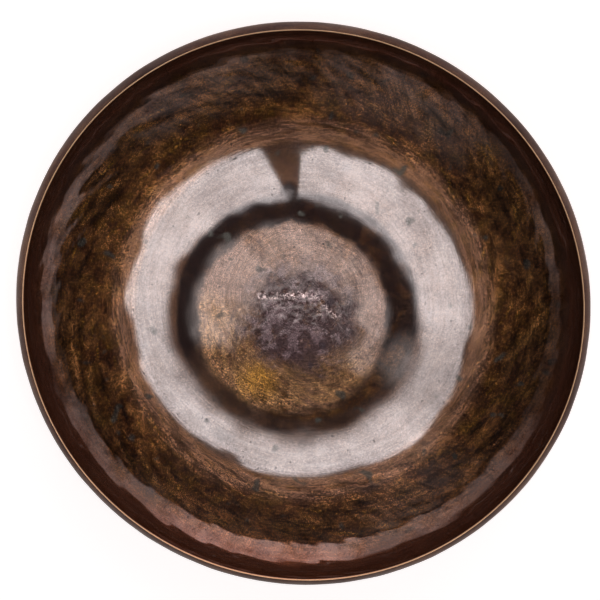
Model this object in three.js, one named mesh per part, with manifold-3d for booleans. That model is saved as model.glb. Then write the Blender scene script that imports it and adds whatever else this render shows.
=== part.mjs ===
// A hand-hammered bronze tam-tam: one forged disc, lying on its playing face with its hollow back up.
// Millimetres, +Z up. The origin is the centre of the flat middle of the face, on the surface it rests on.
// +Y points to the top of the gong as it hangs, between its two cord holes.

import * as THREE from 'three';
import { mergeVertices } from 'three/addons/utils/BufferGeometryUtils.js';
import Module from 'manifold-3d';

// Driving dimensions
const GONG_RADIUS = 250; // mean radius at the widest circle
const SHEET = 1.8; // thickness of the beaten bronze
const FLAT_RADIUS = 12; // flat spot in the middle of the face
const SHOULDER_RADIUS = 44; // outside radius of the roll that turns the face into the rim
const SHOULDER_SLOPE = THREE.MathUtils.degToRad(18); // slope of the face where the shoulder starts
const RIM_TURN_IN = THREE.MathUtils.degToRad(38.5); // how far past upright the rim is beaten inwards
const OVALITY = 0.012; // the beaten disc is this share out of round each way
const LONG_AXIS = THREE.MathUtils.degToRad(-22); // direction of its longest diameter, from +X

// Cord holes, drilled level through the upright part of the rim
const HOLE_RADIUS = 4;
const HOLE_SPREAD = THREE.MathUtils.degToRad(18); // each hole is this far round the rim from +Y
const HOLE_DROP = 4; // hole centre below the widest circle

// Facets
const AROUND = 96;
const DISH_STEPS = 7;
const SHOULDER_STEPS = 11;
const HOLE_SIDES = 24;

// The face's outer section: a flat, a shallow dish arc and the shoulder arc, each tangent to the next.
const shoulderAxis = GONG_RADIUS - SHOULDER_RADIUS; // distance of the shoulder arc's centre from the gong's axis
const dishRadius = SHOULDER_RADIUS + (shoulderAxis - FLAT_RADIUS) / Math.sin(SHOULDER_SLOPE);
const shoulderHeight = dishRadius - (dishRadius - SHOULDER_RADIUS) * Math.cos(SHOULDER_SLOPE);

// One side of the sheet from the axis to the lip; inset 0 is the face, inset SHEET is the hollow side.
// A slope of 0 is level, 90 degrees is upright, and more leans back over the hollow.
function sectionOf(inset) {
  const points = [new THREE.Vector2(0, inset)];
  for (let i = 0; i < DISH_STEPS; i++) {
    const slope = (SHOULDER_SLOPE * i) / DISH_STEPS;
    const radius = dishRadius - inset;
    points.push(new THREE.Vector2(
      FLAT_RADIUS + radius * Math.sin(slope),
      dishRadius - radius * Math.cos(slope),
    ));
  }
  const lipSlope = Math.PI / 2 + RIM_TURN_IN;
  for (let i = 0; i <= SHOULDER_STEPS; i++) {
    const slope = THREE.MathUtils.lerp(SHOULDER_SLOPE, lipSlope, i / SHOULDER_STEPS);
    const radius = SHOULDER_RADIUS - inset;
    points.push(new THREE.Vector2(
      shoulderAxis + radius * Math.sin(slope),
      shoulderHeight - radius * Math.cos(slope),
    ));
  }
  return points;
}

// The whole sheet turned about +Z, then drawn out to its oval.
function beatenDisc() {
  const section = [...sectionOf(0), ...sectionOf(SHEET).reverse()];
  const disc = new THREE.LatheGeometry(section, AROUND);
  disc.rotateX(Math.PI / 2);
  disc.scale(1 + OVALITY, 1 - OVALITY, 1);
  disc.rotateZ(LONG_AXIS);
  return disc;
}

// The drill's path for one cord hole, level and radial, at an angle from +Y.
function cordHole(angle) {
  const drill = new THREE.CylinderGeometry(HOLE_RADIUS, HOLE_RADIUS, SHOULDER_RADIUS, HOLE_SIDES);
  drill.translate(0, GONG_RADIUS, shoulderHeight - HOLE_DROP);
  drill.rotateZ(angle);
  return drill;
}

const wasm = await Module();
wasm.setup();

function toSolid(geometry) {
  const bare = geometry.clone();
  bare.deleteAttribute('normal');
  bare.deleteAttribute('uv');
  const merged = mergeVertices(bare, 1e-3);
  return new wasm.Manifold(new wasm.Mesh({
    numProp: 3,
    vertProperties: merged.attributes.position.array,
    triVerts: new Uint32Array(merged.index.array),
  }));
}

function toGeometry(solid) {
  const { vertProperties, triVerts } = solid.getMesh();
  const geometry = new THREE.BufferGeometry();
  geometry.setAttribute('position', new THREE.BufferAttribute(vertProperties, 3));
  geometry.setIndex(new THREE.BufferAttribute(triVerts, 1));
  geometry.computeVertexNormals();
  return geometry;
}

function drilledDisc() {
  let solid = toSolid(beatenDisc());
  for (const angle of [-HOLE_SPREAD, HOLE_SPREAD]) {
    solid = solid.subtract(toSolid(cordHole(angle)));
  }
  return toGeometry(solid);
}

const patinatedBronze = new THREE.MeshStandardMaterial({
  name: 'patinated_bronze',
  color: 0x5a3a24,
  roughness: 0.35,
  metalness: 0.9,
});

const gong = new THREE.Mesh(drilledDisc(), patinatedBronze);
gong.name = 'gong_disc';

const tamTam = new THREE.Group();
tamTam.add(gong);

export default tamTam;
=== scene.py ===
"""A hand-hammered bronze tam-tam lying on its face, seen from above into its hollow back."""

import math

import bpy
import bmesh
import numpy as np
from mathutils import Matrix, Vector


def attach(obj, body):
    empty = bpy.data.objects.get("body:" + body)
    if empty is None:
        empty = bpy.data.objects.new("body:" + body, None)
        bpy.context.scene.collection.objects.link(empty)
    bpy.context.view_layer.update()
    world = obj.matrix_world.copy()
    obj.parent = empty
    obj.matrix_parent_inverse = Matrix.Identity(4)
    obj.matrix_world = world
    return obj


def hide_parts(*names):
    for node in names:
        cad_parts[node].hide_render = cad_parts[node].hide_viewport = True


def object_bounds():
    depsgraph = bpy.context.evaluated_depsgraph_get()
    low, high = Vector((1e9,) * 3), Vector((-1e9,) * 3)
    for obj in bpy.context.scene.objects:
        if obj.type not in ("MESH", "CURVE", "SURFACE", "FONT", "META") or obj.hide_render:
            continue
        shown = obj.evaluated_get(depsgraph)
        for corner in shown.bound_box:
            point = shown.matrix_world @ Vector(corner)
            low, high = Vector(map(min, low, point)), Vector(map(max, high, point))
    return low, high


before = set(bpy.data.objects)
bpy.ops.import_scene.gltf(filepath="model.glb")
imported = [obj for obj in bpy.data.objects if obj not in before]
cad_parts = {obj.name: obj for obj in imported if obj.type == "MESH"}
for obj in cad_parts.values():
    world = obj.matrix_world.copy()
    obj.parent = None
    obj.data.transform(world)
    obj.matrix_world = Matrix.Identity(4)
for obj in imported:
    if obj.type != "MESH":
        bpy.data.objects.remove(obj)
cad_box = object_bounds()

MM = 0.001

# The gong's section, in metres. It is the CAD solid's own section, drawn finer.
GONG_RADIUS = 250 * MM
SHEET = 1.8 * MM
FLAT_RADIUS = 12 * MM
SHOULDER_RADIUS = 44 * MM
SHOULDER_SLOPE = math.radians(18)
LIP_SLOPE = math.radians(90 + 38.5)
OVALITY = 0.012
LONG_AXIS = math.radians(-22)
HOLE_RADIUS = 4 * MM
HOLE_SPREAD = math.radians(18)  # each cord hole is this far round the rim from +Y
HOLE_DROP = 4 * MM  # hole centres below the widest circle
LIP_ROUNDING = 0.45 * MM  # radius worn on both edges of the lip
SHARP_ANGLE = math.radians(50)  # edges sharper than this stay crisp

SHOULDER_AXIS = GONG_RADIUS - SHOULDER_RADIUS
DISH_RADIUS = SHOULDER_RADIUS + (SHOULDER_AXIS - FLAT_RADIUS) / math.sin(SHOULDER_SLOPE)
SHOULDER_HEIGHT = DISH_RADIUS - (DISH_RADIUS - SHOULDER_RADIUS) * math.cos(SHOULDER_SLOPE)

# Distances along the face's section from the gong's axis
ARC_DISH = FLAT_RADIUS + DISH_RADIUS * SHOULDER_SLOPE  # where the shoulder starts
ARC_LIP = ARC_DISH + SHOULDER_RADIUS * (LIP_SLOPE - SHOULDER_SLOPE)


def smooth(low, high, value):
    """0 below low, 1 above high, and a smooth step between them."""
    t = np.clip((value - low) / (high - low), 0, 1)
    return t * t * (3 - 2 * t)


# ---------------------------------------------------------------- the beaten surface


def between_cells(values, u, v):
    """Smooth values between a lattice's own; u runs round without an end, v stops at both ends."""
    columns, rows = values.shape
    v = np.clip(v, 0, rows - 1.001)
    i, j = np.floor(u).astype(int), np.floor(v).astype(int)
    fu, fv = smooth(0, 1, u - i), smooth(0, 1, v - j)
    i0, i1 = i % columns, (i + 1) % columns
    near = values[i0, j] * (1 - fu) + values[i1, j] * fu
    far = values[i0, j + 1] * (1 - fu) + values[i1, j + 1] * fu
    return near * (1 - fv) + far * fv


class Beating:
    """Smooth random values from -1 to 1 over the gong, in cells that a hammer or a scraper leaves.

    round_cells is how many cells go round the gong, length is a cell's size along the section, and
    slant is how far round a row of cells drifts, in turns for each metre along the section."""

    def __init__(self, rng, round_cells, length, slant=0.0):
        self.length = length
        self.slant = slant
        self.values = rng.uniform(-1, 1, (round_cells, int(ARC_LIP / length) + 3))

    def __call__(self, arc, turn):
        around = (turn + self.slant * arc) % 1.0 * len(self.values)
        return between_cells(self.values, around, arc / self.length)


CORE_RADIUS = 45 * MM  # the rough patch of fire scale near the middle of the hollow
CORE_X, CORE_Y = -4 * MM, -20 * MM


class Lumps:
    """Smooth random values from -1 to 1 over the middle of the gong, in square cells."""

    def __init__(self, rng, cell):
        self.cell = cell
        count = int(4 * CORE_RADIUS / cell)
        self.values = rng.uniform(-1, 1, (count, count))

    def __call__(self, x, y):
        half = len(self.values) / 2
        return between_cells(self.values, x / self.cell + half, y / self.cell + half)


rng = np.random.default_rng(41)
broad_blows = Beating(rng, 20, 46 * MM)
middle_blows = Beating(rng, 44, 21 * MM)
slanted_blows = Beating(rng, 300, 18 * MM, slant=-0.7)
small_blows = Beating(rng, 96, 12 * MM)
fine_blows = Beating(rng, 210, 6 * MM)
big_lumps = Lumps(rng, 7 * MM)
small_lumps = Lumps(rng, 3.2 * MM)
PIT_COUNT = 110
pit_places = rng.normal((-4 * MM, -2 * MM), (20 * MM, 12 * MM), (PIT_COUNT, 2))
pit_sizes = rng.uniform(1.0, 2.6, PIT_COUNT) * MM
pit_depths = rng.uniform(0.05, 0.22, PIT_COUNT) * MM
shoulder_blows = Beating(rng, 130, 13 * MM, slant=-2.0)

# Heights of the marks in the sheet
MEAN_PUSH = 0.2 * MM  # keeps the relief that both sides share above 0
BROAD_BLOW = 0.09 * MM
MIDDLE_BLOW = 0.045 * MM
SLANTED_STROKE = 0.05 * MM
SHOULDER_BLOW = 0.3 * MM
SCALE_LUMP = 0.02 * MM
SCALE_ROUGHNESS = 0.018 * MM
DEEPEST_PIT = 0.35 * MM
FACE_BLOW = 0.16 * MM
FINE_FACE_BLOW = 0.04 * MM

# The crest where the fire scale has broken off: level, then lower towards +X
CREST_Y = 4 * MM
CREST_FALL = 18 * MM
CREST_BEND = (10 * MM, 30 * MM)
CREST_WIDTH = 1.3 * MM
CREST_HEIGHT = 0.3 * MM

# A knock on the outside of the rim
NICK_TURN = math.radians(-36.3) / (2 * math.pi) % 1.0
NICK_ARC = ARC_LIP - 34 * MM
NICK_DEPTH = 0.9 * MM
NICK_HALF_WIDTH = 7 * MM
NICK_HALF_LENGTH = 10 * MM  # along the section


def common_relief(arc, turn):
    """How far the hammer pushed the whole sheet towards the hollow, in metres, from 0 up."""
    inside_rim = 1 - smooth(ARC_LIP - 14 * MM, ARC_LIP, arc)
    off_middle = smooth(30 * MM, 110 * MM, arc)
    broad = BROAD_BLOW * broad_blows(arc, turn) * off_middle
    middle = MIDDLE_BLOW * middle_blows(arc, turn) * off_middle
    return (MEAN_PUSH + broad + middle) * inside_rim * smooth(0, 60 * MM, arc)


def hollow_relief(arc, turn, x, y):
    """Extra relief of the hollow side: slanted strokes and blows near the shoulder, a rough and pitted
    middle, and the crest where the scale has broken off."""
    zone = smooth(168 * MM, 190 * MM, arc) * (1 - smooth(228 * MM, 250 * MM, arc))
    strokes = SLANTED_STROKE * slanted_blows(arc, turn) * zone
    bend = smooth(196 * MM, 220 * MM, arc) * (1 - smooth(246 * MM, 262 * MM, arc))
    strokes = strokes + SHOULDER_BLOW * shoulder_blows(arc, turn) * bend
    away = np.hypot(x - CORE_X, y - CORE_Y)
    core = 1 - smooth(CORE_RADIUS * 0.7, CORE_RADIUS * 1.3, away)
    rough = (SCALE_LUMP * big_lumps(x, y) + SCALE_ROUGHNESS * small_lumps(x, y)) * core
    pits = np.zeros_like(arc)
    for place, size, depth in zip(pit_places, pit_sizes, pit_depths):
        distance2 = (x - place[0]) ** 2 + (y - place[1]) ** 2
        pits += depth * np.exp(-distance2 / (2 * (0.5 * size) ** 2))
    crest_y = CREST_Y - CREST_FALL * smooth(*CREST_BEND, x) + 2 * MM * big_lumps(x, y)
    crest = np.exp(-(((y - crest_y) / CREST_WIDTH) ** 2))
    crest *= smooth(-50 * MM, -34 * MM, x) * (1 - smooth(26 * MM, 38 * MM, x))
    crest *= np.clip(0.35 + 0.65 * small_lumps(x, y), 0, 1)
    return strokes + rough + CREST_HEIGHT * crest - np.minimum(pits, DEEPEST_PIT) * core


def face_relief(arc, turn):
    """Extra relief of the struck side, from 0 into the sheet: rows of small round blows."""
    worked = smooth(50 * MM, 90 * MM, arc) * (1 - smooth(ARC_LIP - 6 * MM, ARC_LIP, arc))
    blows = FACE_BLOW * (1 + small_blows(arc, turn)) + FINE_FACE_BLOW * (1 + fine_blows(arc, turn))
    return blows * worked


# ---------------------------------------------------------------- the gong's mesh

FACE, LIP, HOLLOW = 0, 1, 2
ARC_EDGE = ARC_LIP - LIP_ROUNDING  # where the lip's rounding starts

# Up to each distance from the middle, how far apart a side's rows of vertices are
ROW_SPACINGS = {
    FACE: ((150 * MM, 4.2 * MM), (ARC_EDGE, 4.7 * MM)),
    HOLLOW: ((52 * MM, 1.25 * MM), (150 * MM, 2.7 * MM), (225 * MM, 3.2 * MM), (ARC_EDGE, 3.1 * MM)),
}
FINEST_ROW = 768  # vertices in a row at FINEST_REACH or further out
FINEST_REACH = 142 * MM
COARSEST_ROW = 12


def steps(start, end, spacing):
    """Distances from start to end about spacing apart, without start itself."""
    count = max(1, round((end - start) / spacing))
    return [start + (end - start) * (k + 1) / count for k in range(count)]


def rows_of(side):
    """Distances along the section of one side's rows of vertices, from the middle outwards."""
    rows = []
    start = 0
    for end, spacing in ROW_SPACINGS[side]:
        rows += steps(start, end, spacing)
        start = end
    return rows


def segments_at(arc):
    """Vertices in a row round the gong: it halves each time the row gets half as long."""
    count = FINEST_ROW
    reach = FINEST_REACH
    while arc < reach and count > COARSEST_ROW:
        count //= 2
        reach /= 2
    return count


def section_rows():
    """Every row from the middle of the face, round the lip and back to the middle of the hollow: its
    distance along the section, its depth in the sheet as seen from the face, and its side."""
    rounding = []
    for degrees in (30, 60, 90):
        angle = math.radians(degrees)
        arc = ARC_EDGE + LIP_ROUNDING * math.sin(angle)
        rounding.append((arc, LIP_ROUNDING * (1 - math.cos(angle))))
    rows = [(arc, 0.0, FACE) for arc in rows_of(FACE)]
    rows += [(arc, inset, LIP) for arc, inset in rounding]
    rows += [(arc, SHEET - inset, LIP) for arc, inset in reversed(rounding)]
    rows += [(arc, SHEET, HOLLOW) for arc in reversed(rows_of(HOLLOW))]
    return rows


def section_point(arc, inset):
    """Radius and height of a point of the sheet, from its distance along the face and its depth."""
    slope = np.where(
        arc < ARC_DISH,
        np.clip((arc - FLAT_RADIUS) / DISH_RADIUS, 0, None),
        SHOULDER_SLOPE + (arc - ARC_DISH) / SHOULDER_RADIUS,
    )
    dish_r = FLAT_RADIUS + DISH_RADIUS * np.sin(slope)
    dish_z = DISH_RADIUS * (1 - np.cos(slope))
    shoulder_r = SHOULDER_AXIS + SHOULDER_RADIUS * np.sin(slope)
    shoulder_z = SHOULDER_HEIGHT - SHOULDER_RADIUS * np.cos(slope)
    radius = np.where(arc < FLAT_RADIUS, arc, np.where(arc < ARC_DISH, dish_r, shoulder_r))
    height = np.where(arc < FLAT_RADIUS, 0, np.where(arc < ARC_DISH, dish_z, shoulder_z))
    return radius - inset * np.sin(slope), height + inset * np.cos(slope)


def on_oval(radius, angle):
    """The plan position of a point of the round disc once it is drawn out to its oval."""
    local_x = radius * np.cos(angle - LONG_AXIS) * (1 + OVALITY)
    local_y = radius * np.sin(angle - LONG_AXIS) * (1 - OVALITY)
    c, s = math.cos(LONG_AXIS), math.sin(LONG_AXIS)
    return local_x * c - local_y * s, local_x * s + local_y * c


def beaten_points(arc, inset, side, angle):
    """Places of the vertices of one or more rows, relief included."""
    turn = angle / (2 * math.pi) % 1.0
    plain_radius, _ = section_point(arc, inset)
    x, y = plain_radius * np.cos(angle), plain_radius * np.sin(angle)
    depth = inset + common_relief(arc, turn)
    depth = depth + np.where(side == HOLLOW, hollow_relief(arc, turn, x, y), 0)
    depth = depth + np.where(side == FACE, face_relief(arc, turn), 0)
    round_nick = np.abs((turn - NICK_TURN + 0.5) % 1.0 - 0.5) * 2 * math.pi * GONG_RADIUS
    nick = np.exp(-((round_nick / NICK_HALF_WIDTH) ** 2) - ((arc - NICK_ARC) / NICK_HALF_LENGTH) ** 2)
    depth = depth + NICK_DEPTH * nick
    radius, height = section_point(arc, depth)
    x, y = on_oval(radius, angle)
    return np.stack([x, y, height], axis=-1)


def bridge(a, count_a, b, count_b):
    """Faces between two neighbouring rows, whose first vertices are a and b. One may be twice as
    fine as the other."""
    faces = []
    if count_a == count_b:
        for k in range(count_a):
            n = (k + 1) % count_a
            faces.append((a + k, a + n, b + n, b + k))
    elif count_b == 2 * count_a:
        for k in range(count_a):
            n = (k + 1) % count_a
            middle, last = b + 2 * k + 1, b + (2 * k + 2) % count_b
            faces.append((a + k, middle, b + 2 * k))
            faces.append((a + k, a + n, middle))
            faces.append((a + n, last, middle))
    else:
        faces = [tuple(reversed(face)) for face in bridge(b, count_b, a, count_a)]
    return faces


def gong_mesh():
    """The whole sheet as one closed mesh: face, worn lip and hollow."""
    rows = section_rows()
    points = [np.array([[0.0, 0.0, 0.0]])]
    faces = []
    start, previous = 1, None
    for arc, inset, side in rows:
        count = segments_at(arc)
        angle = 2 * math.pi * np.arange(count) / count
        full = np.ones(count)
        points.append(beaten_points(arc * full, inset * full, side * full, angle))
        if previous is None:
            faces += [(0, start + (k + 1) % count, start + k) for k in range(count)]
        else:
            faces += bridge(previous[0], previous[1], start, count)
        previous = (start, count)
        start += count
    points.append(np.array([[0.0, 0.0, SHEET]]))
    first, count = previous
    faces += [(start, first + k, first + (k + 1) % count) for k in range(count)]
    mesh = bpy.data.meshes.new("gong")
    mesh.from_pydata(np.concatenate(points).tolist(), [], faces)
    mesh.validate()
    built = bmesh.new()
    built.from_mesh(mesh)
    bmesh.ops.recalc_face_normals(built, faces=built.faces)
    if built.calc_volume(signed=True) < 0:
        bmesh.ops.reverse_faces(built, faces=built.faces)
    built.to_mesh(mesh)
    built.free()
    return mesh


def hole_axis(side):
    """Middle and direction of a cord hole; side is -1 or 1."""
    angle = math.pi / 2 + side * HOLE_SPREAD
    direction = Vector((math.cos(angle), math.sin(angle), 0))
    return direction * GONG_RADIUS + Vector((0, 0, SHOULDER_HEIGHT - HOLE_DROP)), direction


def drill_cord_holes(gong):
    """Cuts both holes through the rim."""
    drills = bpy.data.meshes.new("drills")
    built = bmesh.new()
    for side in (-1, 1):
        middle, direction = hole_axis(side)
        turn = direction.to_track_quat("Z", "Y").to_matrix().to_4x4()
        turn.translation = middle
        bmesh.ops.create_cone(
            built, cap_ends=True, segments=40, radius1=HOLE_RADIUS, radius2=HOLE_RADIUS,
            depth=SHOULDER_RADIUS, matrix=turn,
        )
    built.to_mesh(drills)
    built.free()
    cutter = bpy.data.objects.new("drills", drills)
    bpy.context.scene.collection.objects.link(cutter)
    cut = gong.modifiers.new("cord_holes", "BOOLEAN")
    cut.operation = "DIFFERENCE"
    cut.solver = "EXACT"
    cut.object = cutter
    bpy.context.view_layer.update()
    drilled = bpy.data.meshes.new_from_object(
        gong.evaluated_get(bpy.context.evaluated_depsgraph_get())
    )
    gong.modifiers.remove(cut)
    gong.data = drilled
    bpy.data.objects.remove(cutter)


def plan_radius(x, y):
    """Radius that a plan position had before the disc was drawn out to its oval."""
    c, s = math.cos(LONG_AXIS), math.sin(LONG_AXIS)
    return np.hypot((x * c + y * s) / (1 + OVALITY), (y * c - x * s) / (1 - OVALITY))


def mark_surface(mesh):
    """Stores for each vertex what the patina depends on: how far along the section it is, in
    metres, whether it is on the hollow side, and how bare it is rubbed."""
    co = np.empty(len(mesh.vertices) * 3)
    mesh.vertices.foreach_get("co", co)
    co = co.reshape(-1, 3)
    radius = plan_radius(co[:, 0], co[:, 1])
    height = co[:, 2]
    on_shoulder = np.arctan2(radius - SHOULDER_AXIS, SHOULDER_HEIGHT - height)
    on_dish = np.arctan2(radius - FLAT_RADIUS, DISH_RADIUS - height)
    shoulder = (on_shoulder > SHOULDER_SLOPE) & (radius > SHOULDER_AXIS)
    arc = np.where(
        shoulder, ARC_DISH + (on_shoulder - SHOULDER_SLOPE) * SHOULDER_RADIUS,
        np.where(radius < FLAT_RADIUS, radius, FLAT_RADIUS + on_dish * DISH_RADIUS),
    )
    shoulder_depth = SHOULDER_RADIUS - np.hypot(radius - SHOULDER_AXIS, SHOULDER_HEIGHT - height)
    dish_depth = DISH_RADIUS - np.hypot(radius - FLAT_RADIUS, DISH_RADIUS - height)
    depth = np.where(shoulder, shoulder_depth, np.where(radius < FLAT_RADIUS, height, dish_depth))
    rubbed = 1 - smooth(SHEET * 0.4, SHEET * 0.6, depth)  # the lip's inner part keeps its patina
    bare = smooth(ARC_LIP - 0.35 * MM, ARC_LIP - 0.1 * MM, arc) * rubbed
    for name, values in (("arc", arc), ("hollow", depth > SHEET * 0.6), ("bare", bare)):
        attribute = mesh.attributes.new(name, "FLOAT", "POINT")
        attribute.data.foreach_set("value", values.astype(np.float32))


# ---------------------------------------------------------------- shader formulas


class Signal:
    """A number that shader nodes work out, so that a formula reads as one."""

    def __init__(self, tree, socket):
        self.tree = tree
        self.socket = socket

    def math(self, operation, *others):
        """What a Math node makes of this and the other values."""
        node = self.tree.nodes.new("ShaderNodeMath")
        node.operation = operation
        for slot, value in zip(node.inputs, (self, *others)):
            feed(self.tree, slot, value)
        return Signal(self.tree, node.outputs[0])

    def __add__(self, other):
        return self.math("ADD", other)

    def __sub__(self, other):
        return self.math("SUBTRACT", other)

    def __mul__(self, other):
        return self.math("MULTIPLY", other)

    def __truediv__(self, other):
        return self.math("DIVIDE", other)

    def inverse(self):
        """One minus it."""
        return (self * -1.0) + 1.0

    def clamped(self):
        """The same, kept between 0 and 1."""
        return self.math("MINIMUM", 1.0).math("MAXIMUM", 0.0)

    def swing(self):
        """A noise moved to lie about 0, mostly within -1 and 1."""
        return (self - 0.5) * 5.0

    def step(self, low, high):
        """0 at low, 1 at high, smooth between. low may be above high."""
        node = self.tree.nodes.new("ShaderNodeMapRange")
        node.interpolation_type = "SMOOTHSTEP"
        feed(self.tree, node.inputs["Value"], self)
        if low > high:
            low, high = high, low
            node.inputs["To Min"].default_value = 1.0
            node.inputs["To Max"].default_value = 0.0
        node.inputs["From Min"].default_value = low
        node.inputs["From Max"].default_value = high
        return Signal(self.tree, node.outputs["Result"])

    def band(self, low, high, edge):
        """1 from low to high, falling to 0 over edge on both sides."""
        return self.step(low - edge, low) * self.step(high + edge, high)


def feed(tree, slot, value):
    """Links a signal or socket to an input, or sets the input to a number or colour."""
    if isinstance(value, Signal):
        tree.links.new(value.socket, slot)
    elif isinstance(value, bpy.types.NodeSocket):
        tree.links.new(value, slot)
    else:
        slot.default_value = value


def distance(x, y):
    """How far from the origin the point x, y is."""
    return (x * x + y * y).math("SQRT")


def parts_of(tree, socket):
    """The three parts of a vector."""
    node = tree.nodes.new("ShaderNodeSeparateXYZ")
    tree.links.new(socket, node.inputs[0])
    return [Signal(tree, part) for part in node.outputs]


def vector(tree, x, y, z):
    """A vector made of three signals."""
    node = tree.nodes.new("ShaderNodeCombineXYZ")
    for slot, value in zip(node.inputs, (x, y, z)):
        feed(tree, slot, value)
    return node.outputs[0]


def noise(tree, place, scale, detail, roughness, distortion):
    """Blender's noise about 0 to 1 at a place; one feature is about 1/scale long."""
    node = tree.nodes.new("ShaderNodeTexNoise")
    tree.links.new(place, node.inputs["Vector"])
    node.inputs["Scale"].default_value = scale
    node.inputs["Detail"].default_value = detail
    node.inputs["Roughness"].default_value = roughness
    node.inputs["Distortion"].default_value = distortion
    return Signal(tree, node.outputs[0])


def blend(tree, amount, first, second):
    """The colour between first and second, each a colour or a socket."""
    node = tree.nodes.new("ShaderNodeMix")
    node.data_type = "RGBA"
    feed(tree, node.inputs["Factor"], amount)
    feed(tree, node.inputs[6], first)
    feed(tree, node.inputs[7], second)
    return node.outputs[2]


def srgb(red, green, blue):
    """A colour given in 8-bit screen values, as the linear values that shaders take."""
    def linear(value):
        value /= 255
        return value / 12.92 if value <= 0.04045 else ((value + 0.055) / 1.055) ** 2.4
    return (linear(red), linear(green), linear(blue), 1.0)


# ---------------------------------------------------------------- the patina

DEEP_BROWN = srgb(60, 37, 22)
WARM_BROWN = srgb(108, 76, 44)
RING_BROWN = srgb(56, 42, 35)
NEAR_BLACK = srgb(20, 14, 14)
OLIVE_BROWN = srgb(88, 66, 26)
CHARCOAL = srgb(36, 32, 33)
OLD_GOLD = srgb(150, 116, 40)
COPPER = srgb(118, 92, 75)
PALE_BRONZE_AND_REFLECTION = srgb(110, 86, 72)
DULL_GOLD = srgb(150, 120, 84)
OLIVE_GOLD = srgb(176, 134, 58)
SPOT_GREY = srgb(58, 60, 57)
FIRE_GREY = srgb(48, 40, 46)
ASH_LILAC = srgb(118, 104, 108)
PALE_CRUST_AND_HIGHLIGHT = srgb(196, 180, 178)
RED_BROWN = srgb(100, 68, 54)
BARE_BRASS = srgb(230, 200, 160)

# Where the patina changes: distances along the section, or from the centre that is named. A zone's
# pair is its inner and outer end, and an edge's pair is where the change starts and where it is full.
MIDDLE_EDGE = (104 * MM, 90 * MM)  # the brushing has smaller turns inside it
RING_CENTRE = (0.0, -9 * MM)
RING_ZONE = (104 * MM, 151 * MM)
CALM_ZONE = (104 * MM, 161 * MM)
COPPER_ZONE = (159 * MM, 167 * MM)
GOLD_ZONE = (172 * MM, 216 * MM)
DARK_BAND_ZONE = (176 * MM, 226 * MM)
STROKE_ZONE = (192 * MM, 222 * MM)
WALL_EDGE = (228 * MM, 250 * MM)
# The pale disc: partly scraped bronze, partly a painted reflection of the lit card that the middle of
# the hollow mirrors
PALE_DISC_CENTRE = (-10 * MM, -15.6 * MM)
PALE_DISC_EDGE = (96 * MM, 86 * MM)
LOW_GOLD_ZONE = (46 * MM, 82 * MM)
# The dark ring: partly burnt patina, partly painted shade where the dark gap between the lit card and
# the softbox is mirrored
BURNT_AND_SHADE_INNER_EDGE = (82 * MM, 91 * MM)
BURNT_AND_SHADE_CENTRE = (-5 * MM, -12.5 * MM)
BURNT_AND_SHADE_OUTER_EDGE = (115 * MM, 108 * MM)
STAND_REFLECTION_SPOT = (-13 * MM, 100 * MM)  # the darkest spot of the ring: a painted dark reflection of the softbox stand's hub
GILT_SPOT = (-41 * MM, -74 * MM)

# How far the marks of the outer zone lean, in radians round the gong for each metre along the section
GOLD_SLANT = -16.0
SWEEP_SLANT = -15.0
STROKE_SLANT = -4.2

# Marks too fine for the mesh
BUMP_STRENGTH = 0.4
BUMP_HEIGHT = 0.2 * MM


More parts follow.
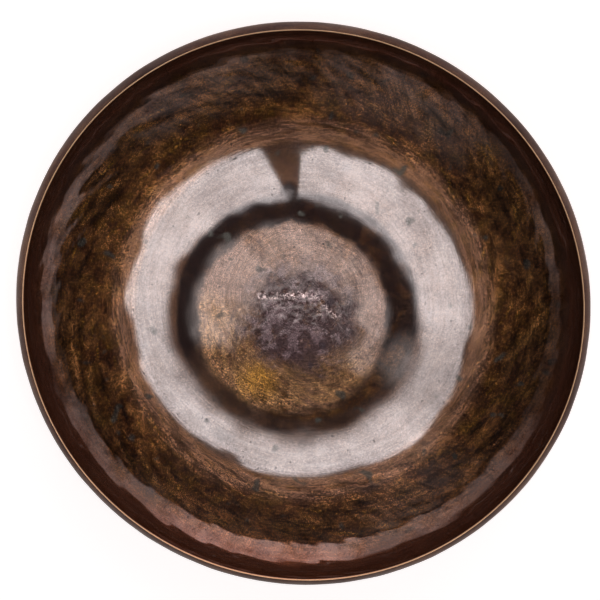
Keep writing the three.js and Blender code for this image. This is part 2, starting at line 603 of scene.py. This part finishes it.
class Patina:
    """Fire patina on bronze: brushed round the hollow, stroked near the shoulder, rough in the middle.
    Near the middle, a pale disc, a dark ring, a dark spot and a pale crest are partly painted
    reflections and shade of the studio.

    Each of its layers is a method that paints over the colour so far, and keeps the masks that the
    gloss and the other surface values use."""

    def __init__(self, tree):
        self.tree = tree
        self.place = tree.nodes.new("ShaderNodeTexCoord").outputs["Object"]
        self.x, self.y, self.z = parts_of(tree, self.place)
        radius = distance(self.x, self.y).math("MAXIMUM", 1e-4)
        self.cosine, self.sine = self.x / radius, self.y / radius
        self.arc = self.attribute("arc")
        self.hollow = self.attribute("hollow")
        self.outside = self.hollow.inverse()
        self.middle = self.arc.step(*MIDDLE_EDGE)
        self.off_ring = self.from_point(RING_CENTRE)
        self.off_stand_reflection = self.from_point(STAND_REFLECTION_SPOT)
        self.bare = self.bare_metal()

        outer = self.round_noise(18 * MM, 1.2 * MM, at=0.14, detail=3.0, rough=0.6, twist=0.3)
        inner = self.round_noise(11 * MM, 1.0 * MM, at=0.055, detail=3.0, rough=0.65, twist=0.4)
        self.brushing = outer * self.middle.inverse() + inner * self.middle
        self.brushed = self.brushing.swing()
        self.clouds = self.round_noise(70 * MM, 34 * MM, detail=3.0).swing()
        self.mottle = self.round_noise(17 * MM, 11 * MM, detail=6.0, rough=0.68).swing()
        streaks = self.round_noise(60 * MM, 5 * MM, at=0.14, detail=4.0, rough=0.6, twist=0.5)
        self.streaks = streaks.swing()
        gold_clouds = self.round_noise(24 * MM, 11 * MM, slant=GOLD_SLANT, detail=5.0, rough=0.62)
        self.gold_clouds = gold_clouds.swing()
        self.smudges = self.noise(26, 5.0, 0.6, 0.4).swing()
        self.swirls = self.noise(21, 4.0, 0.55, 1.0).swing()
        self.ragged = self.noise(34, 5.0, 0.65).swing()
        self.grain = self.noise(420, 2.0, 0.7).swing()
        self.speckle = self.noise(950, 1.0, 0.5)

    def attribute(self, name):
        """A value that mark_surface stored on the mesh."""
        node = self.tree.nodes.new("ShaderNodeAttribute")
        node.attribute_name = name
        return Signal(self.tree, node.outputs["Fac"])

    def from_point(self, centre):
        """Distance in plan from a point."""
        return distance(self.x - centre[0], self.y - centre[1])

    def noise(self, scale, detail, rough=0.5, twist=0.0):
        """Noise that is the same in all directions."""
        return noise(self.tree, self.place, scale, detail, rough, twist)

    def round_noise(self, length, width, at=0.2, slant=0.0, detail=2.0, rough=0.5, twist=0.0):
        """Noise whose features are length long round the gong at the radius at, and width across."""
        turns = at / length
        cosine, sine = self.cosine, self.sine
        if slant:
            angle = self.y.math("ARCTAN2", self.x) + self.arc * slant
            cosine, sine = angle.math("COSINE"), angle.math("SINE")
        around = vector(self.tree, cosine * turns, sine * turns, self.arc / width)
        return noise(self.tree, around, 1.0, detail, rough, twist)

    def bare_metal(self):
        """1 where the patina is rubbed off: along the lip, and round the cord holes' outer ends."""
        bare = self.attribute("bare")
        for side in (-1, 1):
            middle, axis = hole_axis(side)
            x, y, z = self.x - middle.x, self.y - middle.y, self.z - middle.z
            along = x * axis.x + y * axis.y
            away = (x * x + y * y + z * z - along * along).math("SQRT")
            worn = away.step(HOLE_RADIUS + 0.9 * MM, HOLE_RADIUS + 0.1 * MM)
            bare = bare.math("MAXIMUM", worn * along.step(-60 * MM, -50 * MM) * 0.7)
        return bare

    def paint(self, amount, colour):
        """Lays a colour over what is there."""
        self.colour = blend(self.tree, amount, self.colour, colour)

    def paint_ground(self):
        """Browns, with olive clouds."""
        tone = (self.clouds * 0.35 + self.mottle * 0.5 + 0.42).step(0.0, 1.0)
        self.colour = blend(self.tree, tone, DEEP_BROWN, WARM_BROWN)
        olive = self.noise(48, 4.0, 0.65).swing().step(-0.3, 1.2)
        self.paint(olive * 0.55, OLIVE_BROWN)

    def paint_outer_zone(self):
        """Copper outside the ring, then slanted gold, dark bands and strokes up to the shoulder."""
        copper = self.brushed * 0.5 + self.streaks * 0.4 + 0.7
        copper = copper * self.off_ring.band(*COPPER_ZONE, 13 * MM) * (self.hollow * 0.6 + 0.4)
        self.paint(copper.clamped() * 0.7, COPPER)

        self.gold_zone = self.arc.band(*GOLD_ZONE, 18 * MM)
        self.gold = (self.gold_clouds + self.grain * 0.4 - 0.45).step(0.0, 1.3) * self.gold_zone
        self.paint(self.gold * 0.75, OLD_GOLD)

        bands = self.round_noise(22 * MM, 12 * MM, slant=SWEEP_SLANT, detail=3.0, rough=0.55)
        self.dark_bands = bands.swing().step(0.1, 1.2) * self.arc.band(*DARK_BAND_ZONE, 14 * MM)
        self.paint(self.dark_bands * 0.75, NEAR_BLACK)

        strokes = self.round_noise(4.8 * MM, 24 * MM, slant=STROKE_SLANT, detail=2.0, rough=0.5)
        stroke_zone = self.arc.band(*STROKE_ZONE, 16 * MM) * (self.clouds + 0.9).step(0.0, 1.2)
        self.strokes = strokes.swing().step(0.2, -0.6) * stroke_zone
        self.paint(self.strokes * 0.4, NEAR_BLACK)

    def paint_ring(self):
        """The plain brown ring round the pale middle, and clouds of soot."""
        ring = self.off_ring.band(*RING_ZONE, 6 * MM) * self.hollow
        self.paint(ring * 0.8, RING_BROWN)
        soot = self.round_noise(34 * MM, 20 * MM, at=0.15, detail=5.0, rough=0.6).swing()
        soot_zone = self.arc.step(60 * MM, 90 * MM) * 0.6 + 0.4
        self.paint(soot.step(0.3, 1.5) * soot_zone * 0.85, CHARCOAL)

    def paint_middle_and_reflections(self):
        """Pale strokes, gold below the centre, and the burnt ring, a little off centre. The pale disc
        is partly a painted reflection of the lit card. The ring is partly painted shade, and its
        darkest spot is a painted reflection of the softbox stand.
        """
        off_pale_disc = self.from_point(PALE_DISC_CENTRE) + self.ragged * 3.5 * MM + self.mottle * 1.5 * MM
        pale = self.swirls * 0.35 + self.brushed * 0.12 + self.mottle * 0.2
        pale = pale + self.smudges * 0.3 + self.streaks * 0.2 + 0.6
        # Painted reflection: the pale disc is partly scraped bronze and partly the lit card's
        # reflection painted into the colour
        pale_disc = off_pale_disc.step(*PALE_DISC_EDGE) * self.hollow
        self.paint(pale_disc * pale.clamped(), PALE_BRONZE_AND_REFLECTION)

        below = (self.y + self.x * 0.4).step(-14 * MM, -44 * MM)
        low_gold = off_pale_disc.band(*LOW_GOLD_ZONE, 12 * MM) * below
        low_gold = low_gold * (self.gold_clouds * 0.6 + self.grain * 0.15 + 0.5) * self.hollow
        self.paint(low_gold.clamped() * 0.85, DULL_GOLD)
        gilt = self.from_point(GILT_SPOT).step(27 * MM, 6 * MM)
        gilt = gilt * (self.gold_clouds * 0.4 + 0.7) * self.hollow
        self.paint(gilt.clamped() * 0.8, OLIVE_GOLD)

        # Painted shade: the near-black ring is partly burnt patina and partly the mirrored dark gap
        # between card and softbox, painted darker towards +Y
        off_burnt_and_shade = self.from_point(BURNT_AND_SHADE_CENTRE) + self.smudges * 2.0 * MM
        burnt_and_shade = off_pale_disc.step(*BURNT_AND_SHADE_INNER_EDGE) * off_burnt_and_shade.step(*BURNT_AND_SHADE_OUTER_EDGE) * self.hollow
        blotches = self.noise(44, 3.0, 0.6, 0.3).swing()
        above = self.y.step(-80 * MM, -10 * MM)
        burnt_and_shade = burnt_and_shade * (self.mottle * 0.2 + blotches * 0.4 + above * 0.5 + 0.55)
        # Painted reflection: a near-black spot where the softbox stand's hub is mirrored, joined to
        # the ring
        self.burnt_and_shade = burnt_and_shade.math("MAXIMUM", self.off_stand_reflection.step(12 * MM, 5 * MM) * self.hollow)
        self.paint(self.burnt_and_shade.clamped() * 0.95, NEAR_BLACK)

    def paint_spots(self):
        """A few sooty spots, none of them on the painted reflection of the softbox stand, and fine
        specks.
        """
        spots = self.noise(62, 1.0).swing().step(0.85, 1.25) * self.hollow
        self.spots = spots * self.off_stand_reflection.step(8 * MM, 16 * MM)
        self.paint(self.spots * 0.8, SPOT_GREY)
        self.specks = self.noise(300, 0.0).swing().step(1.45, 1.7) * self.hollow
        self.paint(self.specks * 0.7, NEAR_BLACK)

    def paint_fire_scale(self):
        """A crust of fire scale near the centre, worn through in places, and its gritty pale crest,
        whose pale colour is partly a painted highlight of the softbox.
        """
        off_core = self.from_point((CORE_X, CORE_Y))
        self.scale = (self.ragged * 0.3 - off_core / CORE_RADIUS + 1.2).step(-0.2, 0.4) * self.hollow
        self.crust = self.noise(210, 4.0, 0.75).swing()
        worn_through = (self.noise(90, 4.0, 0.7).swing() + self.crust * 0.3).step(0.2, 1.3)
        self.paint(self.scale * (worn_through * -0.6 + 0.85), FIRE_GREY)
        self.paint(self.scale * self.crust.step(0.1, 1.2) * 0.9, NEAR_BLACK)
        self.thick_scale = self.noise(58, 4.0, 0.65, 0.5).swing().step(-0.5, 0.8)
        self.paint(self.scale * self.thick_scale.step(0.3, 0.0) * 0.45, ASH_LILAC)

        fall = self.x.step(*CREST_BEND) * CREST_FALL
        crest_line = self.y - CREST_Y + fall + self.ragged * 1.5 * MM
        crest = crest_line.math("ABSOLUTE").step(5 * MM, 0.5 * MM)
        self.crest = crest * self.x.band(-38 * MM, 28 * MM, 10 * MM) * self.hollow
        self.grit = self.noise(300, 3.0, 0.7).swing()
        # Painted highlight: the pale crust along the crest partly stands in for the softbox's
        # reflection on it
        self.paint(self.crest * self.grit.step(-0.2, 0.7), PALE_CRUST_AND_HIGHLIGHT)
        self.pitted = self.crest * self.grit.step(-0.5, -1.0)
        self.paint(self.pitted, NEAR_BLACK)

    def paint_wall_and_face(self):
        """The red-brown wall under the roll, and the plain middle of the playing face."""
        self.paint(self.arc.step(*WALL_EDGE) * (self.outside * -0.35 + 0.85), RED_BROWN)
        self.plain = self.outside * self.arc.step(95 * MM, 55 * MM)
        face_tone = blend(self.tree, self.smudges.step(-1.2, 1.2), DEEP_BROWN, WARM_BROWN)
        self.paint(self.plain, face_tone)

    def paint_marks(self):
        """Light and dark of the fine marks, and the bare metal over all."""
        grains = self.grain * 0.5 + self.speckle.swing() * 0.8
        marks = self.brushed * (self.middle * 0.3 + 0.3) + grains + self.mottle * 0.25
        calm = self.off_ring.band(*CALM_ZONE, 12 * MM) * 0.6 + self.middle * 0.5
        calm = calm + self.arc.step(224 * MM, 240 * MM) * 0.5
        sweeps = self.round_noise(30 * MM, 15 * MM, slant=SWEEP_SLANT, detail=2.0, rough=0.5).swing()
        marks = marks * calm.inverse() + sweeps * 0.42 * self.gold_zone
        face_clouds = self.clouds * self.plain.inverse() * 0.3 + self.ragged * 0.15
        marks = marks * self.plain.inverse() + face_clouds * self.outside
        lightness = marks.math("MINIMUM", 0.75).math("EXPONENT") * (self.hollow * 0.5 + 0.5)
        value = self.tree.nodes.new("ShaderNodeHueSaturation")
        feed(self.tree, value.inputs["Color"], self.colour)
        feed(self.tree, value.inputs["Value"], lightness)
        self.colour = value.outputs[0]
        self.paint(self.bare, BARE_BRASS)

    def roughness(self):
        """How rough the metal is under its clear skin."""
        return self.mottle * 0.03 + self.brushed * 0.03 + 0.2 + self.scale * 0.06 + self.outside * 0.12

    def metal(self):
        """How metallic it is: the patina covers part of the bronze."""
        metal = self.gold * 0.2 - self.bare * 0.2 + self.hollow * 0.25 + 0.45
        return metal.math("MINIMUM", 1.0)

    def gloss(self):
        """How much clear skin there is. It is what mirrors the studio."""
        gloss = self.smudges * 0.2 + self.clouds * 0.06 + self.streaks * 0.10 + self.mottle * 0.07
        gloss = gloss + self.brushed * (self.middle * 0.1 + 0.07)
        gloss = gloss + (self.smudges * 0.1 + self.swirls * 0.08 - 0.04) * self.middle
        shoulder = self.arc.band(222 * MM, 250 * MM, 8 * MM)
        gloss = gloss + (self.smudges * 0.4 + self.ragged * 0.3) * shoulder
        gloss = gloss + self.grain * 0.09 + self.speckle.swing() * 0.08 + 0.76
        gloss = gloss - self.specks * 0.35 - self.spots * 0.35
        for mask, loss in (
            (self.strokes, 0.3),
            (self.burnt_and_shade, 0.25),
            (self.dark_bands, 0.4),
            (self.scale * self.thick_scale, 0.7),
            (self.pitted, 0.9),
            (self.outside, 0.8),
            (self.bare, 0.8),
        ):
            gloss = gloss * (mask * -loss + 1.0)
        return gloss.clamped()

    def bump(self, height):
        """Normals of marks too fine for the mesh."""
        node = self.tree.nodes.new("ShaderNodeBump")
        node.inputs["Strength"].default_value = BUMP_STRENGTH
        node.inputs["Distance"].default_value = BUMP_HEIGHT
        feed(self.tree, node.inputs["Height"], height)
        return node.outputs[0]

    def metal_bump(self):
        """Brushing, grain, crust and grit, as the metal has them."""
        height = self.brushing * 0.3 + self.speckle * 0.24
        return self.bump(height + self.crust * self.scale * 0.6 + self.grit * self.crest)

    def skin_bump(self):
        """Fewer and fainter marks, as the clear skin shows them."""
        height = self.brushing * 0.05 + self.speckle * 0.02
        return self.bump(height + self.crust * self.scale * 0.22)


def patinated_bronze():
    """The gong's material: metal under a thin clear skin."""
    material = bpy.data.materials.new("patinated_bronze")
    material.use_nodes = True
    tree = material.node_tree
    patina = Patina(tree)
    patina.paint_ground()
    patina.paint_outer_zone()
    patina.paint_ring()
    patina.paint_middle_and_reflections()
    patina.paint_spots()
    patina.paint_fire_scale()
    patina.paint_wall_and_face()
    patina.paint_marks()

    shader = tree.nodes["Principled BSDF"]
    feed(tree, shader.inputs["Base Color"], patina.colour)
    feed(tree, shader.inputs["Roughness"], patina.roughness())
    feed(tree, shader.inputs["Metallic"], patina.metal())
    feed(tree, shader.inputs["Normal"], patina.metal_bump())
    feed(tree, shader.inputs["Coat Weight"], patina.gloss())
    feed(tree, shader.inputs["Coat Normal"], patina.skin_bump())
    shader.inputs["Coat Roughness"].default_value = 0.04
    shader.inputs["Coat IOR"].default_value = 1.95
    shader.inputs["Specular IOR Level"].default_value = 0.0
    shader.inputs["Specular Tint"].default_value = (0.45, 0.38, 0.35, 1)
    return material


# ---------------------------------------------------------------- the piece


def make_gong():
    """The one piece, on the body that it rides and in place of its CAD node."""
    gong = bpy.data.objects.new("gong", gong_mesh())
    bpy.context.scene.collection.objects.link(gong)
    drill_cord_holes(gong)
    mark_surface(gong.data)
    gong.data.shade_smooth()
    gong.data.set_sharp_from_angle(angle=SHARP_ANGLE)
    gong.data.materials.clear()
    gong.data.materials.append(patinated_bronze())
    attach(gong, "root")
    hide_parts("gong_disc")


# ---------------------------------------------------------------- camera, floor and light

CAMERA_DISTANCE = 1.53  # from the widest circle
CAMERA_TILT = math.radians(4.15)  # off the gong's axis, towards +Y
AIM = Vector((-3.0 * MM, 5.1 * MM, SHOULDER_HEIGHT))
VIEW_WIDTH = 526.9 * MM  # what the picture spans at the widest circle
SENSOR_WIDTH = 36

FLOOR_RADIUS = 9
FLOOR_GREY = 0.6
FLOOR_GLOW = 0.72

SOFTBOX_TINT = (1.0, 0.905, 0.905, 1)
CARD_TINT = (1.0, 0.87, 0.84, 1)
WINDOW_TINT = (1.0, 0.64, 0.58, 1)
SCREEN_TINT = (1.0, 0.75, 0.71, 1)
SOFTBOX_LIGHT = 5.8
CARD_LIGHT = 2.3
WINDOW_LIGHT = 1.9
SCREEN_LIGHT = 0.95
ROOM_LIGHT = 0.03
BACKGROUND_GREY = 0.93  # what the camera sees past the floor

# Places on the ceiling, in degrees across towards +X and ahead towards +Y from straight up
SOFTBOX_CENTRE = (0.6, -2.75)
SOFTBOX_EDGE = (18.9, 18.6)
OPENING_CENTRE = (1.25, -2.05)
OPENING_RADIUS = 12.4
HAZE_CENTRE = (-10.8, 2.6)
DIM_CENTRE = (-12.5, 4.0)
HUB_ACROSS, HUB_AHEAD = 1.0, -14.9  # where the softbox's stand is narrowest
CARD_CENTRE = (1.8, -1.9)
CARD_EDGE = (10.4, 9.4)
NOTCH_ACROSS, NOTCH_AHEAD = 0.2, -4.9  # the lowest point of the notch in the card
GLOW_CENTRE = (-5.6, 1.2)

# Upright lights, in degrees: directions run from +X towards +Y, and edges down from straight up
WINDOW = (77, 20, 35, 82)  # direction, half width, top edge, bottom edge
SCREEN_FADE = 9  # how soft a screen's sides are, each way
SCREEN_EDGE_FADE = 5  # how soft its top and bottom are
SCREENS = (  # direction, half width, top edge, bottom edge, strength
    (110, 14, 36, 78, 0.75),
    (138, 14, 38, 72, 0.48),
    (37, 14, 36, 76, 0.70),
    (356, 12, 47, 70, 0.75),
    (200, 12, 36, 54, 0.30),
    (247, 14, 29, 49, 0.42),
    (290, 14, 31, 50, 0.36),
    (318, 14, 35, 50, 0.36),
    (88, 45, 21, 34, 0.09),
    (125, 14, 17, 24, 0.25),
    (338, 12, 36, 60, 0.42),
)


def make_camera():
    """A camera almost straight above the gong, as for the photograph."""
    data = bpy.data.cameras.new("camera")
    data.sensor_width = SENSOR_WIDTH
    data.lens = SENSOR_WIDTH * CAMERA_DISTANCE / VIEW_WIDTH
    camera = bpy.data.objects.new("camera", data)
    bpy.context.scene.collection.objects.link(camera)
    back = Vector((0, math.sin(CAMERA_TILT), math.cos(CAMERA_TILT)))
    camera.location = AIM + back * CAMERA_DISTANCE
    camera.rotation_euler = (-CAMERA_TILT, 0, 0)
    bpy.context.scene.camera = camera


def make_floor():
    """A white table that glows, so that the gong's shadow on it stays faint, and that can be seen
    through from below."""
    mesh = bpy.data.meshes.new("floor")
    built = bmesh.new()
    bmesh.ops.create_circle(built, cap_ends=True, segments=96, radius=FLOOR_RADIUS)
    built.to_mesh(mesh)
    built.free()
    floor = bpy.data.objects.new("floor", mesh)
    bpy.context.scene.collection.objects.link(floor)
    floor.location.z = cad_box[0].z
    material = bpy.data.materials.new("white_table")
    material.use_nodes = True
    tree = material.node_tree
    shader = tree.nodes["Principled BSDF"]
    shader.inputs["Base Color"].default_value = (FLOOR_GREY, FLOOR_GREY, FLOOR_GREY, 1)
    shader.inputs["Roughness"].default_value = 0.8
    shader.inputs["Emission Color"].default_value = (1, 1, 1, 1)
    shader.inputs["Emission Strength"].default_value = FLOOR_GLOW
    clear = tree.nodes.new("ShaderNodeBsdfTransparent")
    mix = tree.nodes.new("ShaderNodeMixShader")
    behind = tree.nodes.new("ShaderNodeNewGeometry").outputs["Backfacing"]
    tree.links.new(behind, mix.inputs[0])
    tree.links.new(shader.outputs[0], mix.inputs[1])
    tree.links.new(clear.outputs[0], mix.inputs[2])
    tree.links.new(mix.outputs[0], tree.nodes["Material Output"].inputs["Surface"])
    mesh.materials.append(material)


class Ceiling:
    """The lights of a dim room, as formulas of the direction in which the gong sees them."""

    def __init__(self, tree):
        direction = tree.nodes.new("ShaderNodeTexCoord").outputs["Generated"]
        x, y, z = parts_of(tree, direction)
        level = distance(x, y).math("MAXIMUM", 1e-4)
        self.off_zenith = z.math("ARCCOSINE") * (180 / math.pi)
        self.cosine, self.sine = x / level, y / level
        self.across = self.off_zenith * x / level
        self.ahead = self.off_zenith * y / level

    def away_from(self, centre):
        """Degrees from a point of the ceiling."""
        return distance(self.across - centre[0], self.ahead - centre[1])

    def softbox(self):
        """A ring with a crisp outside, which fades into its open middle, more gently towards +Y."""
        fade = (self.away_from(OPENING_CENTRE) - OPENING_RADIUS) / (self.ahead * 0.09 + 2.1)
        ring = self.away_from(SOFTBOX_CENTRE).step(*SOFTBOX_EDGE) * fade.step(0.0, 1.0)
        haze = self.away_from(HAZE_CENTRE).step(4.2, 0.5) * 0.35
        dimmed = self.away_from(DIM_CENTRE).step(7.0, 3.0) * -0.3 + 1.0
        return ring.math("MAXIMUM", haze) * dimmed * self.stand().inverse()

    def stand(self):
        """The softbox's dark stand, which widens from its hub to the ring's outside."""
        below_hub = self.ahead * -1.0 + HUB_AHEAD
        half_width = (below_hub * 0.36).math("MAXIMUM", 0.4)
        off_axis = (self.across - HUB_ACROSS - below_hub * 0.2).math("ABSOLUTE")
        return (half_width - off_axis).step(-0.08, 0.08) * self.ahead.step(-10.0, -12.0)

    def card(self):
        """A lit card in the softbox's open middle, with a notch in its upper edge, and its glow."""
        off_notch = self.across - NOTCH_ACROSS
        upper_edge = (off_notch * off_notch * 0.12 + NOTCH_AHEAD).math("MINIMUM", 0.5)
        card = self.away_from(CARD_CENTRE).step(*CARD_EDGE)
        card = card * (upper_edge - self.ahead).step(-0.9, 0.8)
        return card.math("MAXIMUM", self.away_from(GLOW_CENTRE).step(2.8, 1.0) * 0.6)

    def screen(self, towards, half_width, top, bottom):
        """1 on an upright lit screen, with soft edges."""
        turn = math.radians(towards)
        facing = self.cosine * math.cos(turn) + self.sine * math.sin(turn)
        low = math.cos(math.radians(half_width + SCREEN_FADE))
        high = math.cos(math.radians(half_width - SCREEN_FADE))
        return facing.step(low, high) * self.off_zenith.band(top, bottom, SCREEN_EDGE_FADE)

    def screens(self):
        """All the screens and a faint even band behind them."""
        light = self.off_zenith.band(34, 58, 4) * 0.12
        for towards, half_width, top, bottom, strength in SCREENS:
            light = light + self.screen(towards, half_width, top, bottom) * strength
        return light


def add_lights(tree, lights):
    """The sum of backgrounds, each a strength and a tint."""
    total = None
    for strength, tint in lights:
        light = tree.nodes.new("ShaderNodeBackground")
        feed(tree, light.inputs["Strength"], strength)
        light.inputs["Color"].default_value = tint
        if total is None:
            total = light.outputs[0]
        else:
            both = tree.nodes.new("ShaderNodeAddShader")
            tree.links.new(total, both.inputs[0])
            tree.links.new(light.outputs[0], both.inputs[1])
            total = both.outputs[0]
    return total


def make_studio():
    """The room that the gong mirrors. The camera itself sees a plain pale background instead."""
    world = bpy.data.worlds.new("studio")
    bpy.context.scene.world = world
    world.use_nodes = True
    tree = world.node_tree
    ceiling = Ceiling(tree)
    lights = add_lights(tree, (
        (ceiling.softbox() * SOFTBOX_LIGHT, SOFTBOX_TINT),
        (ceiling.card() * CARD_LIGHT, CARD_TINT),
        (ceiling.screen(*WINDOW) * WINDOW_LIGHT, WINDOW_TINT),
        (ceiling.screens() * SCREEN_LIGHT + ROOM_LIGHT, SCREEN_TINT),
    ))
    seen = tree.nodes.new("ShaderNodeBackground")
    seen.inputs["Color"].default_value = (BACKGROUND_GREY, BACKGROUND_GREY, BACKGROUND_GREY, 1)
    mix = tree.nodes.new("ShaderNodeMixShader")
    is_camera = tree.nodes.new("ShaderNodeLightPath").outputs["Is Camera Ray"]
    tree.links.new(is_camera, mix.inputs[0])
    tree.links.new(lights, mix.inputs[1])
    tree.links.new(seen.outputs[0], mix.inputs[2])
    tree.links.new(mix.outputs[0], tree.nodes["World Output"].inputs["Surface"])


bpy.context.scene.view_settings.view_transform = "Standard"
make_camera()
make_gong()
make_floor()
make_studio()
